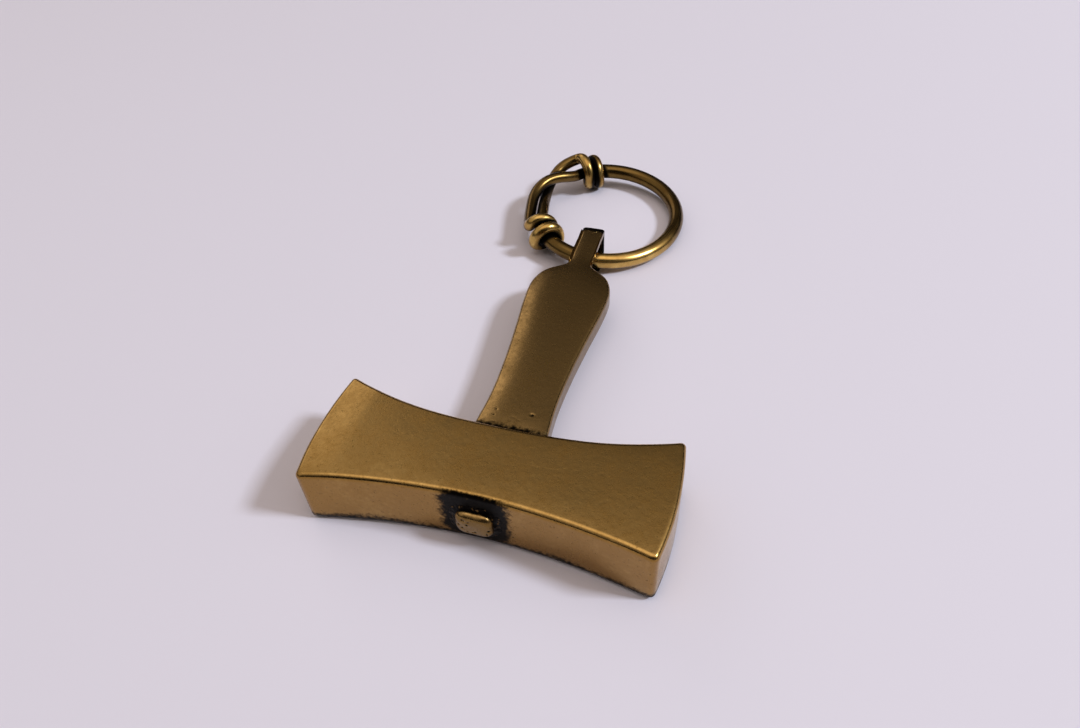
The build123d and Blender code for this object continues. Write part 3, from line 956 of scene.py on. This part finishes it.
# %% Floor
FLOOR_HALF = 900.0
FLOOR_DROP = 0.01
corners = np.array([(-1, -1, 0), (1, -1, 0), (1, 1, 0), (-1, 1, 0)]) * FLOOR_HALF - (0, 0, FLOOR_DROP)
floor_mesh = bpy.data.meshes.new("floor")
floor_mesh.from_pydata((corners * MM).tolist(), [], [(0, 1, 2, 3)])
floor = bpy.data.objects.new("floor", floor_mesh)
bpy.context.scene.collection.objects.link(floor)
floor_finish, _, floor_shader = new_material("pale_card")
floor_shader.inputs["Metallic"].default_value = 0.0
floor_shader.inputs["Base Color"].default_value = linear("#dedae4")
floor_shader.inputs["Roughness"].default_value = 0.75
floor_mesh.materials.append(floor_finish)
print("floor at", -FLOOR_DROP, "mm")


# %% Lamps
def lamp(name, way, distance, size, watts, colour):
    """A square lamp that many millimetres away in the direction way, facing the pendant's middle."""
    light = bpy.data.lights.new(name, "AREA")
    light.size, light.energy, light.color = size * MM, watts, linear(colour)[:3]
    made = bpy.data.objects.new(name, light)
    way = np.array(way, float) / np.linalg.norm(way)
    side = np.cross((0, 1, 0.01), way)
    side /= np.linalg.norm(side)
    place = (np.array((0, 20, 0)) + way * distance) * MM
    turned = np.stack([side, np.cross(way, side), way, place], axis=1)
    made.matrix_world = Matrix([*turned.tolist(), [0, 0, 0, 1]])
    bpy.context.scene.collection.objects.link(made)
    return made


WINDOW_WAY = (1.03, 0.12, 1.0)
lamp("window", WINDOW_WAY, 1600, 250, 17.5, "#e9f1ff")

world = bpy.data.worlds.new("room")
world.use_nodes = True
bpy.context.scene.world = world
sky = world.node_tree
way = add_node(sky, "ShaderNodeTexCoord").outputs["Generated"]
apart = add_node(sky, "ShaderNodeSeparateXYZ", {"Vector": way})


def round_patch(middle, outer, inner, outside, inside):
    """A round part of the sky: outside beyond the angle whose cosine is outer, inside within inner."""
    unit = tuple(np.array(middle) / np.linalg.norm(middle))
    facing = add_node(sky, "ShaderNodeVectorMath", {0: way, 1: unit}, operation="DOT_PRODUCT")
    limits = {"Value": facing.outputs["Value"], "From Min": outer, "From Max": inner,
              "To Min": outside, "To Max": inside}
    return add_node(sky, "ShaderNodeMapRange", limits, interpolation_type="SMOOTHSTEP").outputs[0]


def band(axis, start, end, before, after):
    """A change from one brightness to another as the direction's X, Y or Z goes from start to end."""
    limits = {"Value": apart.outputs[axis], "From Min": start, "From Max": end,
              "To Min": before, "To Max": after}
    return add_node(sky, "ShaderNodeMapRange", limits, interpolation_type="SMOOTHSTEP").outputs[0]


def combine(first, second, operation):
    return add_node(sky, "ShaderNodeMath", {0: first, 1: second}, operation=operation).outputs[0]


ceiling = combine(band("Y", 0.48, 0.565, 0.4, 0.0), band("Y", 0.57, 0.84, 0.19, 0.06), "ADD")
ceiling = combine(ceiling, round_patch((0.05, -0.15, 1.0), 0.86, 0.95, 0.0, 0.9), "ADD")
pale_wall = round_patch((-0.62, 0.62, 0.48), 0.955, 0.98, 0.0, 1.2)
viewer = round_patch((0.3049, -0.8677, 0.3927), 0.74, 0.83, 1.0, 0.04)
bright = combine(combine(ceiling, pale_wall, "MAXIMUM"), viewer, "MULTIPLY")
level = combine(bright, band("Z", 0.22, 0.45, 0.06, 1.0), "MULTIPLY")
sky.nodes["Background"].inputs["Color"].default_value = linear("#fff1e7")
sky.links.new(level, sky.nodes["Background"].inputs["Strength"])
bpy.context.scene.view_settings.view_transform = "Standard"
print("one lamp and a drawn sky")
